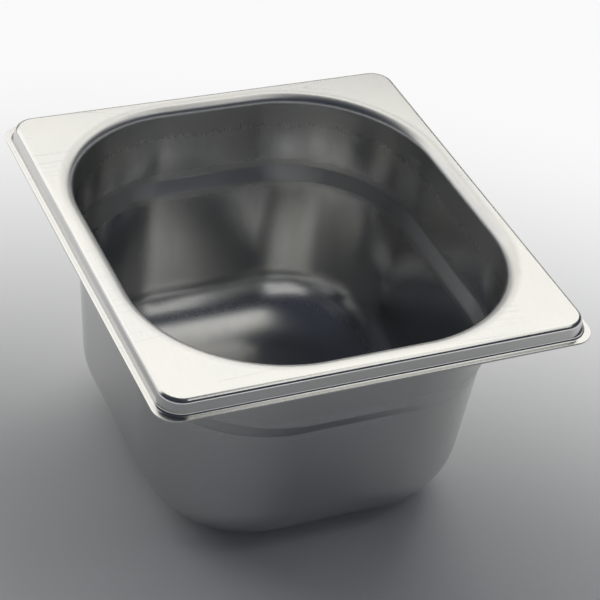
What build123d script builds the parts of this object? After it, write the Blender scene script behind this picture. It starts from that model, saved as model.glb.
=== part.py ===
from build123d import *
import os
from math import radians, tan

# One-sixth gastronorm food pan, drawn from one sheet of stainless steel.
# Origin: middle of the underside of the base, which is what the pan stands on.
# X runs across the shorter side of the rim, Y along the longer side, +Z up.
# All sizes are millimetres, and all drafts are degrees from upright.

# Sheet and overall size
sheet = 0.8                    # thickness of the steel
rim_width = 162.0              # over the lip, along X
rim_length = 176.0             # over the lip, along Y
depth = 100.0                  # underside of the base to the top of the flange

# Rim, from its outer edge inwards
lip_corner_radius = 8.3
lip_reach = 2.0                # lip outside the foot of the skirt
skirt_drop = 5.5               # top of the flange down to the top of the lip
skirt_draft = 12.0
skirt_corner_radius = 9.0      # in plan, at the foot of the skirt
flange_edge_radius = 1.8       # flange into skirt, outside of the bend
lip_bend_radius = 1.0          # skirt into lip, inside of the bend
flange_band = 9.0              # foot of the skirt to the mouth of the well

# Mouth and upper band of the well, inside faces
mouth_bend_radius = 3.75       # flange into well, outside of the bend
mouth_corner_radius = 51.5     # in plan, where the mouth would be sharp
band_depth = 31.0              # top of the flange down to the stacking shoulder
band_draft = 4.0

# Stacking shoulder and lower well, inside faces
shoulder_height = 5.5
shoulder_step = 2.9            # how far the straight walls step inwards
shoulder_corner_step = 5.8     # how much tighter the corners get in plan
shoulder_bend_radius = 2.5     # inside of both bends of the shoulder
well_draft = 4.6
base_bend_radius = 25.0        # wall into base, inside of the bend

# Worked out from the sizes above
skirt_foot_x = rim_width / 2 - lip_reach
skirt_foot_y = rim_length / 2 - lip_reach
mouth_x = skirt_foot_x - flange_band
mouth_y = skirt_foot_y - flange_band
lip_top = depth - skirt_drop
shoulder_top = depth - band_depth
shoulder_foot = shoulder_top - shoulder_height
band_lean = band_depth * tan(radians(band_draft))


def section(half_x, half_y, corner, height):
    """A rounded rectangle about the Z axis, lying flat at a height."""
    return Plane.XY.offset(height) * RectangleRounded(2 * half_x, 2 * half_y, corner)


def loop_at(solid, height, half_x, half_y):
    """The level edges at a height that go round within these half sizes."""
    slack = 0.01

    def within(edge):
        box = edge.bounding_box()
        reach_x = max(box.max.X, -box.min.X)
        reach_y = max(box.max.Y, -box.min.Y)
        return reach_x < half_x + slack and reach_y < half_y + slack

    return solid.edges().filter_by_position(Axis.Z, height - slack, height + slack).filter_by(within)


def well(grow):
    """The well as a block: its inside faces with no grow, its outside faces with one sheet."""
    half_x = mouth_x + grow
    half_y = mouth_y + grow
    band = extrude(
        section(half_x, half_y, mouth_corner_radius + grow, depth),
        amount=band_depth, dir=(0, 0, -1), taper=band_draft,
    )
    half_x -= band_lean
    half_y -= band_lean
    corner = mouth_corner_radius + grow - band_lean
    head = section(half_x, half_y, corner, shoulder_top)
    foot_x = half_x - shoulder_step
    foot_y = half_y - shoulder_step
    foot = section(foot_x, foot_y, corner - shoulder_corner_step, shoulder_foot)
    shoulder = loft([head, foot], ruled=True)
    base = sheet - grow
    lower = extrude(foot, amount=shoulder_foot - base, dir=(0, 0, -1), taper=well_draft)
    lower = fillet(loop_at(lower, base, foot_x, foot_y), base_bend_radius + grow)
    block = band + shoulder + lower
    block = fillet(loop_at(block, shoulder_top, half_x, half_y), shoulder_bend_radius + grow)
    foot_edges = loop_at(block, shoulder_foot, foot_x, foot_y)
    return fillet(foot_edges, shoulder_bend_radius + sheet - grow)


def skirt(inset):
    """The raised part of the rim: its outside with no inset, its hollow with one sheet."""
    foot = section(
        skirt_foot_x - inset, skirt_foot_y - inset, skirt_corner_radius - inset, lip_top - inset
    )
    block = extrude(foot, amount=skirt_drop, taper=skirt_draft)
    top_edges = loop_at(block, depth - inset, skirt_foot_x, skirt_foot_y)
    return fillet(top_edges, flange_edge_radius - inset)


def rim():
    """Flange, skirt and lip, hollow underneath, with the well not yet opened."""
    lip = extrude(
        section(rim_width / 2, rim_length / 2, lip_corner_radius, lip_top), amount=-sheet
    )
    steel = lip + skirt(0)
    steel = fillet(loop_at(steel, lip_top, skirt_foot_x, skirt_foot_y), lip_bend_radius)
    steel = steel - skirt(sheet)
    underside = loop_at(steel, lip_top - sheet, skirt_foot_x - sheet, skirt_foot_y - sheet)
    return fillet(underside, lip_bend_radius + sheet)


def pan():
    """The whole pan: rim and well are one sheet."""
    steel = rim() + well(sheet)
    under_mouth = loop_at(steel, depth - sheet, mouth_x + sheet, mouth_y + sheet)
    steel = fillet(under_mouth, mouth_bend_radius - sheet)
    steel = steel - well(0)
    mouth = loop_at(steel, depth, mouth_x, mouth_y)
    return fillet(mouth, mouth_bend_radius)


os.makedirs("parts", exist_ok=True)
export_step(pan(), "parts/pan.step")
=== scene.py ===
# %% [markdown]
# # A deep-drawn food pan
# This is the one-sixth pan of a deli counter. It is pressed from a single sheet of
# stainless steel, so there is one body to make: a flat flange, a short skirt and a lip
# outside it, and inside it a well with a stacking shoulder and a wide bend into the base.
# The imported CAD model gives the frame. It is loaded first and never moved, and its box is
# kept so that the finished piece can be compared with it at the end.

# %% Load the frame
import math

import bpy
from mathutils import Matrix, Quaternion, Vector


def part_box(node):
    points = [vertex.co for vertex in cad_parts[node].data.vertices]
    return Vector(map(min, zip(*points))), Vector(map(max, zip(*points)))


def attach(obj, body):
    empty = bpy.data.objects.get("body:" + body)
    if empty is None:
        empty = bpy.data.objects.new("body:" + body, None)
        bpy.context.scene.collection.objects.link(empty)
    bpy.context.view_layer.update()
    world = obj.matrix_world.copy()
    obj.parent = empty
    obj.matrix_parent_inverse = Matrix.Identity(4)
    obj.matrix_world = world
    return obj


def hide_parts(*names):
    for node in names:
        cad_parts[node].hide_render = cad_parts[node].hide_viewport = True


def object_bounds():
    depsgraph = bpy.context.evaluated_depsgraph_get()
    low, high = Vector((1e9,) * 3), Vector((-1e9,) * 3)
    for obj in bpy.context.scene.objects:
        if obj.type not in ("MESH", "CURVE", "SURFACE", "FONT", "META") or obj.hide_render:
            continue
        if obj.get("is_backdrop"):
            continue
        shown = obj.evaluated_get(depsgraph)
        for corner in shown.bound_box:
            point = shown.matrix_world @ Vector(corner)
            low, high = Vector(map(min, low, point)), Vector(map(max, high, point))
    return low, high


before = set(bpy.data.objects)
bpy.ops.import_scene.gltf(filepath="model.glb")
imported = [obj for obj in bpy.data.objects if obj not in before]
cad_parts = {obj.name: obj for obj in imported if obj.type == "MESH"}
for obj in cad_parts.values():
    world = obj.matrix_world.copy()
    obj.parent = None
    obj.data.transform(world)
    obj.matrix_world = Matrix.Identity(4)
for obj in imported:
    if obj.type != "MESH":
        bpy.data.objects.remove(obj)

MM = 0.001
cad_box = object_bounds()
low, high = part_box("pan")
print("CAD box, mm:", [round(v / MM, 2) for v in (*low, *high)])

# %% [markdown]
# ## The sheet as a row of stations
# Cut the pan through the middle of a side and the food side of the sheet is a line with
# seven corners. Each corner is a station: how far it lies in from the rim's edge, how far
# below the flange, its radius in plan, and the radius that the sheet is bent to there.
# A press can't fold steel sharply, so every corner becomes a real bend, and those bends
# are what catch the light. The overall size comes from the frame.

# %% Stations of the sheet
SHEET = 0.8 * MM
HALF_X = high.x
HALF_Y = high.y
TOP = high.z
SKIRT_DROP = 5.5 * MM
SKIRT_LEAN = SKIRT_DROP * math.tan(math.radians(12.0))
BAND_DEPTH = 31.0 * MM
BAND_LEAN = BAND_DEPTH * math.tan(math.radians(4.0))
SHOULDER_HEIGHT = 5.5 * MM
SHOULDER_STEP = 2.9 * MM
LIP_REACH = 2.0 * MM
MOUTH_INSET = 11.0 * MM
LIP_CORNER = 8.3 * MM
SKIRT_CORNER = 9.0 * MM
MOUTH_CORNER = 51.5 * MM
WELL_CORNER = 43.53 * MM
WELL_DEPTH = TOP - SHEET
WELL_LEAN = (WELL_DEPTH - BAND_DEPTH - SHOULDER_HEIGHT) * math.tan(math.radians(4.6))


def station(inset, drop, corner, bend=0.0, steps=1):
    """One corner of the sheet's section. Bends are measured on the food side."""
    return {"inset": inset, "drop": drop, "corner": corner, "bend": bend, "steps": steps}


shoulder_inset = MOUTH_INSET + BAND_LEAN
well_inset = shoulder_inset + SHOULDER_STEP
stations = [
    station(0.0, SKIRT_DROP, LIP_CORNER),
    station(LIP_REACH, SKIRT_DROP, SKIRT_CORNER, 1.0 * MM, 6),
    station(LIP_REACH + SKIRT_LEAN, 0.0, SKIRT_CORNER - SKIRT_LEAN, 1.8 * MM, 10),
    station(MOUTH_INSET, 0.0, MOUTH_CORNER, 3.75 * MM, 14),
    station(shoulder_inset, BAND_DEPTH, MOUTH_CORNER - BAND_LEAN, 2.5 * MM, 5),
    station(well_inset, BAND_DEPTH + SHOULDER_HEIGHT, WELL_CORNER, 3.3 * MM, 5),
    station(well_inset + WELL_LEAN, WELL_DEPTH, WELL_CORNER - WELL_LEAN, 25.0 * MM, 28),
]
base_centre = Vector((HALF_X, WELL_DEPTH))
print(len(stations), "stations from the lip to the base")

# %% [markdown]
# ## From stations to rings
# A ring is the sheet's outline at one level, as a rounded rectangle. A bend needs several
# rings along its arc, and their corners grow or shrink with the inset, as they do when
# every wall keeps its draft. Working the arc out here keeps the mesh exact, where a bevel
# on a finished bowl would pinch at the corners.

# %% Rings along the sheet


def place(point):
    """A station as a point of the section: inset, then drop."""
    return Vector((point["inset"], point["drop"]))


def bend_rings(before, point, after):
    """The rings on the arc that rounds one station."""
    here = place(point)
    back = (place(before) - here).normalized()
    ahead = (after - here).normalized()
    turn = math.pi - back.angle(ahead)
    centre = here + (back + ahead).normalized() * point["bend"] / math.cos(turn / 2)
    start = here + back * point["bend"] * math.tan(turn / 2) - centre
    end = here + ahead * point["bend"] * math.tan(turn / 2) - centre
    rings = []
    for step in range(point["steps"] + 1):
        along = step / point["steps"]
        spoke = start * math.sin((1 - along) * turn) + end * math.sin(along * turn)
        spot = centre + spoke / math.sin(turn)
        shift = spot.x - point["inset"]
        rings.append((spot.x, spot.y, point["corner"] - shift))
    return rings


first = stations[0]
rings = [(first["inset"], first["drop"], first["corner"])]
flat_strips = set()
for index in range(1, len(stations)):
    is_last = index == len(stations) - 1
    after = base_centre if is_last else place(stations[index + 1])
    if stations[index]["drop"] == stations[index - 1]["drop"] == 0.0:
        flat_strips.add(len(rings) - 1)
    rings += bend_rings(stations[index - 1], stations[index], after)
print(len(rings), "rings, of which the flange joins ring", sorted(flat_strips))

# %% [markdown]
# ## Strips, then one shell
# By hand, a ring is a plane whose four corners are beveled round and whose face is
# deleted. Two neighbouring rings are bridged into a strip. All the strips are joined and
# their shared edges merged, which is safer than bridging seventy loops at once, where
# Blender has to guess their order. The flange is flat and its two edges have very
# different corners, so a bridge would twist there: Fill closes it instead.

# %% Make the shell
CORNER_STEPS = 32


def outline(ring):
    """Adds a ring to the mesh that is being edited, as a loop of edges."""
    inset, drop, corner = ring
    bpy.ops.mesh.primitive_plane_add(size=2, location=(0, 0, TOP - drop))
    bpy.ops.transform.resize(value=(HALF_X - inset, HALF_Y - inset, 1))
    bpy.ops.mesh.bevel(
        offset_type="ABSOLUTE", offset=corner, segments=CORNER_STEPS, affect="VERTICES",
        clamp_overlap=False,
    )
    bpy.ops.mesh.delete(type="ONLY_FACE")


def empty_mesh():
    """A new object with nothing in it, left open for editing."""
    bpy.ops.object.select_all(action="DESELECT")
    bpy.ops.mesh.primitive_plane_add(size=2)
    bpy.ops.object.mode_set(mode="EDIT")
    bpy.ops.mesh.select_all(action="SELECT")
    bpy.ops.mesh.delete(type="VERT")
    return bpy.context.object


def strip(outer, inner, flat):
    """Two rings and the band of sheet between them, as an object."""
    band = empty_mesh()
    outline(outer)
    outline(inner)
    bpy.ops.mesh.select_all(action="SELECT")
    if flat:
        bpy.ops.mesh.fill()
    else:
        bpy.ops.mesh.bridge_edge_loops()
    bpy.ops.object.mode_set(mode="OBJECT")
    return band


def base_disc(ring):
    """The flat of the base, inside the last ring."""
    disc = empty_mesh()
    outline(ring)
    bpy.ops.mesh.select_all(action="SELECT")
    bpy.ops.mesh.edge_face_add()
    bpy.ops.object.mode_set(mode="OBJECT")
    return disc


bands = [strip(rings[i], rings[i + 1], i in flat_strips) for i in range(len(rings) - 1)]
bands.append(base_disc(rings[-1]))
bpy.ops.object.select_all(action="DESELECT")
for band in bands:
    band.select_set(True)
bpy.context.view_layer.objects.active = bands[0]
bpy.ops.object.join()
shell = bpy.context.object
shell.name = "pan_shell"
bpy.ops.object.mode_set(mode="EDIT")
bpy.ops.mesh.select_all(action="SELECT")
bpy.ops.mesh.remove_doubles(threshold=0.01 * MM)
bpy.ops.mesh.normals_make_consistent(inside=False)
bpy.ops.object.mode_set(mode="OBJECT")
print("shell:", len(shell.data.vertices), "vertices,", len(shell.data.polygons), "faces")

# %% [markdown]
# ## Give the sheet its thickness
# Solidify grows the 0.8 mm away from the food side, so the mouth keeps its size and the
# underside of every bend is tighter or wider by one sheet, as on the real pan. The lip is
# sheared in a trimming die, so its edge is sharp but not a knife: a small bevel on the
# edges that turn by about 90 degrees gives it the thin bright line of a broken edge.
# Weighted normals let the large flats stay flat in reflections beside narrow bends.

# %% Finish the mesh


def apply_modifier(obj, kind, **settings):
    """Adds a modifier with these settings and applies it."""
    modifier = obj.modifiers.new(kind.title(), kind)
    for name, value in settings.items():
        setattr(modifier, name, value)
    bpy.ops.object.modifier_apply(modifier=modifier.name)


apply_modifier(
    shell, "SOLIDIFY", thickness=SHEET, offset=-1, use_even_offset=True, use_quality_normals=True
)
apply_modifier(
    shell, "BEVEL", width=0.15 * MM, segments=2, limit_method="ANGLE",
    angle_limit=math.radians(60), miter_outer="MITER_SHARP",
)
bpy.ops.object.shade_smooth_by_angle(angle=math.radians(35))
apply_modifier(shell, "WEIGHTED_NORMAL", keep_sharp=True, weight=100)
print("finished:", len(shell.data.vertices), "vertices,", len(shell.data.polygons), "faces")
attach(shell, "root")
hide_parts("pan")

# %% [markdown]
# ## The camera
# A camera can be placed by hand with the fly controls, but a product picture is easier to
# repeat from a few plain facts: the point it aims at, how far it is turned and tilted, its
# distance and its lens. A long lens from about three quarters of a metre keeps the rim's
# sides nearly parallel, and the slight roll makes the pan look as if it leans forward.

# %% Camera
TURN = math.radians(27.85)
TILT = math.radians(37.32)
ROLL = math.radians(7.70)
AIM = Vector((7.2, -3.8, 63.4)) * MM
DISTANCE = 0.7538
LENS = 121.96


def direction(turn, tilt):
    """The way from the pan at a turn from +Y towards +X and a tilt above the floor."""
    return Vector((math.sin(turn) * math.cos(tilt), math.cos(turn) * math.cos(tilt), math.sin(tilt)))


camera_data = bpy.data.cameras.new("camera")
camera_data.sensor_width = 36
camera_data.lens = LENS
camera = bpy.data.objects.new("camera", camera_data)
bpy.context.scene.collection.objects.link(camera)
look = direction(TURN, -TILT)
camera.location = AIM - look * DISTANCE
camera.rotation_euler = (look.to_track_quat("-Z", "Y") @ Quaternion((0, 0, 1), ROLL)).to_euler()
bpy.context.scene.camera = camera
print("camera at", [round(value, 3) for value in camera.location])

# %% [markdown]
# ## Writing a finish as arithmetic
# A finish is a graph of nodes, and a long graph is hard to read when it is written link by
# link. Two small classes help. A Wire stands for one output, and adding or multiplying
# wires adds the Math nodes. A Finish adds every other kind of node with one method, and
# sets that node's own settings before its sockets.

# %% Two helpers for finishes


class Wire:
    """One output in a finish, which can be used in sums."""

    def __init__(self, finish, socket):
        self.finish = finish
        self.socket = socket

    def other(self, name):
        """Another output of the same node."""
        return Wire(self.finish, self.socket.node.outputs[name])

    def math(self, operation, first, second):
        return self.finish.node("ShaderNodeMath", {"operation": operation}, {0: first, 1: second})

    def __add__(self, value):
        return self.math("ADD", self, value)

    def __radd__(self, value):
        return self.math("ADD", value, self)

    def __sub__(self, value):
        return self.math("SUBTRACT", self, value)

    def __rsub__(self, value):
        return self.math("SUBTRACT", value, self)

    def __mul__(self, value):
        return self.math("MULTIPLY", self, value)

    def __rmul__(self, value):
        return self.math("MULTIPLY", value, self)


class Finish:
    """A material whose nodes are added one method call at a time."""

    def __init__(self, name):
        self.material = bpy.data.materials.new(name)
        self.material.use_nodes = True
        self.tree = self.material.node_tree
        self.shader = self.tree.nodes["Principled BSDF"]
        self.result = self.tree.nodes["Material Output"]

    def node(self, kind, settings, sockets, output=0):
        """Adds a node, applies its settings, then fills its sockets with values or wires."""
        added = self.tree.nodes.new(kind)
        for name, value in settings.items():
            setattr(added, name, value)
        for name, value in sockets.items():
            self.fill(added.inputs[name], value)
        return Wire(self, added.outputs[output])

    def fill(self, socket, value):
        """Links a wire to a socket, or sets a plain value on it."""
        if isinstance(value, Wire):
            self.tree.links.new(value.socket, socket)
        else:
            socket.default_value = value

    def surface(self, **inputs):
        """Fills the shader's own sockets."""
        for name, value in inputs.items():
            self.fill(self.shader.inputs[name.replace("_", " ")], value)


print("a Wire adds Math nodes, and a Finish adds the rest")

# %% [markdown]
# ## Where things happen on the steel
# The flange and the base keep the grain that the rolling mill gave the sheet. The walls
# were pulled through a die, so their grain runs upright. The direction a surface faces
# tells the two apart. Wear needs places as well: the distance in from an outline, worked
# out with the formula for a rounded rectangle, finds the lip, the edge of the flange and
# the bend of the mouth without painting anything by hand.

# %% Places on the pan
steel = Finish("satin_steel")
spot = steel.node("ShaderNodeTexCoord", {}, {}, "Object")
across = steel.node("ShaderNodeSeparateXYZ", {}, {0: spot}, "X")
along = across.other("Y")
height = across.other("Z")
facing = steel.node("ShaderNodeSeparateXYZ", {}, {0: spot.other("Normal")}, "Z")


def absolute(wire):
    return steel.node("ShaderNodeMath", {"operation": "ABSOLUTE"}, {0: wire})


def larger(first, second):
    return steel.node("ShaderNodeMath", {"operation": "MAXIMUM"}, {0: first, 1: second})


def rise(wire, low, high):
    """0 up to low, 1 from high, and a soft step between them."""
    return steel.node(
        "ShaderNodeMapRange", {"interpolation_type": "SMOOTHSTEP"},
        {"Value": wire, "From Min": low, "From Max": high},
    )


def inside(half_x, half_y, corner):
    """How far a spot lies inside a rounded rectangle, and less than nothing outside it."""
    over_x = absolute(across) - (half_x - corner)
    over_y = absolute(along) - (half_y - corner)
    past_x = larger(over_x, 0.0)
    past_y = larger(over_y, 0.0)
    reach = steel.node("ShaderNodeMath", {"operation": "SQRT"}, {0: past_x * past_x + past_y * past_y})
    short = steel.node("ShaderNodeMath", {"operation": "MINIMUM"}, {0: larger(over_x, over_y), 1: 0.0})
    return corner - reach - short


def line_at(wire, middle, width):
    """A soft line where a wire has this value."""
    return 1.0 - rise(absolute(wire - middle), width * 0.3, width)


level = rise(absolute(facing), 0.6, 0.95)
wall = 1.0 - level
from_lip = inside(HALF_X, HALF_Y, LIP_CORNER)
base_zone = 1.0 - rise(height, 1 * MM, 16 * MM)
from_mouth = inside(HALF_X - MOUTH_INSET, HALF_Y - MOUTH_INSET, MOUTH_CORNER)
print("places take", len(steel.tree.nodes), "nodes")

# %% [markdown]
# ## Satin grain, clouds and ripples
# The finish is satin: fine enough to look smooth across a counter, but up close it is
# thousands of short strokes. A noise stretched along one direction gives such strokes.
# Rolled grain runs along the pan and drawn grain up its walls. Slow clouds come from
# washing and handling, and a wall has shallow ripples left by the drawing.

# %% Grain of the sheet


def noise(scale, detail=2.0, turn=0.0):
    """Noise with its own scale per metre along each axis, about 0.5 on average."""
    stretched = steel.node(
        "ShaderNodeMapping", {}, {"Vector": spot, "Rotation": (0, 0, turn), "Scale": scale}
    )
    return steel.node("ShaderNodeTexNoise", {}, {"Vector": stretched, "Scale": 1.0, "Detail": detail})


STROKES = 2400
rolled = noise((STROKES, 110, 110))
drawn = noise((1500, 1500, 60))
grain = rolled * level + drawn * wall
clouds = noise((26, 26, 26), 3.0)
ripples = noise((34, 34, 9), 1.0)
print("grain strokes are about", round(1000 / STROKES, 2), "mm wide")

# %% [markdown]
# ## Marks of use and of the press
# Spoons and trays leave hairlines on the flange and the base. A hairline is where a long,
# stretched noise passes through its middle value, broken up by the clouds so that no line
# runs on for ever. Edges that hands, lids and neighbouring pans touch are rubbed bright:
# the lip, the edge of the flange and, more faintly, the shoulder. Where the press
# stretched the sheet hardest, at the mouth and the shoulder, the surface is left duller,
# like the skin of an orange seen from far off.

# %% Hairlines and rubbed edges


def hairlines(scale, turn):
    return line_at(noise(scale, 0.0, turn), 0.5, 0.010) * rise(clouds, 0.46, 0.62)


SHOULDER_LEVEL = 66.5 * MM
scratches = (hairlines((9, 120, 40), 0.6) + hairlines((8, 150, 30), -0.9)) * level
rubbed = larger(line_at(from_lip, 3.0 * MM, 1.1 * MM), line_at(from_lip, 0.0, 0.5 * MM))
shoulder_rub = line_at(height, SHOULDER_LEVEL, 4.0 * MM) * wall
rubbed = larger(rubbed, shoulder_rub * 0.4) * rise(clouds, 0.36, 0.56)
stretched = larger(
    line_at(from_mouth, -1.0 * MM, 5.0 * MM) * rise(height, 80 * MM, 97 * MM),
    line_at(height, SHOULDER_LEVEL, 8.0 * MM),
)
print("marks of use bring it to", len(steel.tree.nodes), "nodes")

# %% [markdown]
# ## The steel itself
# Stainless steel is a slightly warm grey metal. The walls are given a darker and cooler
# colour, which is painted shade: it stands in for the dark, bluish surroundings that the
# walls mirror. Rubbing polishes, so it lowers the roughness, and hairlines raise it. The bump
# height is in millimetres, which keeps each mark at a size that can be checked with a gauge.

# %% Satin steel
FLAT_STEEL = (0.607, 0.600, 0.572, 1)
# The wall colour is darker and bluer as painted shade of the dim surroundings the walls mirror.
WALL_STEEL_PAINTED_SHADE = (0.545, 0.553, 0.575, 1)
RUBBED_STEEL = (0.66, 0.655, 0.64, 1)
# Mixes in the walls' painted shade by which way a surface faces, plus random cloudy tone.
wall_shade_and_cloud_tone = wall * 0.55 + (clouds - 0.5) * 0.8
colour = steel.node(
    "ShaderNodeMix", {"data_type": "RGBA"}, {0: wall_shade_and_cloud_tone, 6: FLAT_STEEL, 7: WALL_STEEL_PAINTED_SHADE}, 2
)
colour = steel.node(
    "ShaderNodeMix", {"data_type": "RGBA"}, {0: rubbed * 0.5, 6: colour, 7: RUBBED_STEEL}, 2
)
roughness = 0.23 - wall * 0.02 + base_zone * 0.13 + stretched * 0.15 - rubbed * 0.04
roughness = roughness + (grain - 0.5) * 0.10 + (clouds - 0.5) * 0.05 + scratches * 0.06
relief = grain * 0.008 + ripples * wall * 0.10 - scratches * 0.004
bump = steel.node("ShaderNodeBump", {}, {"Height": relief, "Distance": 1 * MM, "Strength": 1.0})
steel.surface(Base_Color=colour, Roughness=roughness, Metallic=1.0, Normal=bump)
shell.data.materials.clear()
shell.data.materials.append(steel.material)
print("satin steel has", len(steel.tree.nodes), "nodes")

# %% [markdown]
# ## The floor
# The pan stands on a wide sheet of pale paper whose edge turns up far away, so that no
# low view looks past it. Round a point in front of the pan and a little to its left it is
# plain paper and keeps the pan's shadow. It looks grey there, because the lamps are set
# for the steel and leave the paper dim. The near walls mirror that patch, and a brighter
# one would wash them out. From 0.3 to 0.6 m out from that point it fades to an even white,
# which the camera and the steel both see, but which lights nothing that is matt.

# %% Pale paper
bpy.ops.object.select_all(action="DESELECT")
bpy.ops.mesh.primitive_cylinder_add(vertices=96, radius=6, depth=1, location=(0, 0, 0.5))
floor = bpy.context.object
floor.name = "floor"
bpy.ops.object.mode_set(mode="EDIT")
bpy.ops.mesh.select_all(action="DESELECT")
bpy.ops.object.mode_set(mode="OBJECT")
for face in floor.data.polygons:
    face.select = face.center.z > 0.4
bpy.ops.object.mode_set(mode="EDIT")
bpy.ops.mesh.delete(type="FACE")
bpy.ops.mesh.select_all(action="SELECT")
bpy.ops.mesh.normals_make_consistent(inside=True)
bpy.ops.object.mode_set(mode="OBJECT")
bpy.ops.object.transform_apply(location=True)
floor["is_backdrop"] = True

GREY_MIDDLE = (-0.15, -0.30, 0)
paper = Finish("pale_paper")
paper.surface(Base_Color=(0.85, 0.85, 0.85, 1), Roughness=0.9)
on_floor = paper.node("ShaderNodeTexCoord", {}, {}, "Object")
from_middle = paper.node(
    "ShaderNodeVectorMath", {"operation": "DISTANCE"}, {0: on_floor, 1: GREY_MIDDLE}, "Value"
)
far = paper.node(
    "ShaderNodeMapRange", {"interpolation_type": "SMOOTHSTEP"},
    {"Value": from_middle, "From Min": 0.30, "From Max": 0.60},
)
rays = paper.node("ShaderNodeLightPath", {}, {}, "Is Camera Ray")
seen = rays + rays.other("Is Glossy Ray") + rays.other("Is Transmission Ray")
seen = paper.node("ShaderNodeMath", {"operation": "MINIMUM"}, {0: seen, 1: 1.0})
glow = paper.node("ShaderNodeEmission", {}, {"Strength": 0.95})
plain = Wire(paper, paper.shader.outputs[0])
mixed = paper.node("ShaderNodeMixShader", {}, {0: seen * far, 1: plain, 2: glow})
paper.fill(paper.result.inputs[0], mixed)
floor.data.materials.append(paper.material)
print("floor is", [round(value, 1) for value in floor.dimensions], "m")

# %% [markdown]
# ## The light
# Metal shows its surroundings, so lighting it means choosing what it reflects. One wide
# softbox hangs behind the pan and fills the flange with an even glow. A narrow one high
# on the right puts the bright bands into the well. The room is dim and a little blue, which
# is why the walls of the well are dark. A lamp's brightness is given as how white its
# face looks, and its power follows from its size.

# %% Softboxes and room
bpy.context.scene.view_settings.view_transform = "Standard"
room = bpy.data.worlds.new("room")
room.use_nodes = True
background = room.node_tree.nodes["Background"]
background.inputs["Color"].default_value = (0.62, 0.73, 1.0, 1)
background.inputs["Strength"].default_value = 0.07
bpy.context.scene.world = room
LAMP_DISTANCE = 1.5


def softbox(name, turn, tilt, roll, width, length, brightness):
    """A flat lamp facing the pan. Turn, tilt and roll are degrees, sizes are metres."""
    lamp_data = bpy.data.lights.new(name, "AREA")
    lamp_data.shape = "RECTANGLE"
    lamp_data.size = width
    lamp_data.size_y = length
    lamp_data.energy = brightness * math.pi * width * length
    lamp_data.color = (1.0, 0.99, 0.955)
    lamp = bpy.data.objects.new(name, lamp_data)
    bpy.context.scene.collection.objects.link(lamp)
    away = direction(math.radians(turn), math.radians(tilt))
    lamp.location = Vector((0, 0, TOP / 2)) + away * LAMP_DISTANCE
    facing_pan = away.to_track_quat("Z", "Y") @ Quaternion((0, 0, 1), math.radians(roll))
    lamp.rotation_euler = facing_pan.to_euler()
    print(name, "gives", round(lamp_data.energy, 1), "W")


softbox("wide_softbox", -4, 43, -16, 3.3, 0.96, 1.56)
softbox("high_softbox", 100, 64, 0, 1.4, 0.45, 1.4)

# %% [markdown]
# ## Check the size
# Looks must not change the size.

# %% Compare the boxes
visual_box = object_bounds()
gap = max(abs(a - b) for cad, seen_at in zip(cad_box, visual_box) for a, b in zip(cad, seen_at))
print("largest difference between the boxes, mm:", round(gap / MM, 3))
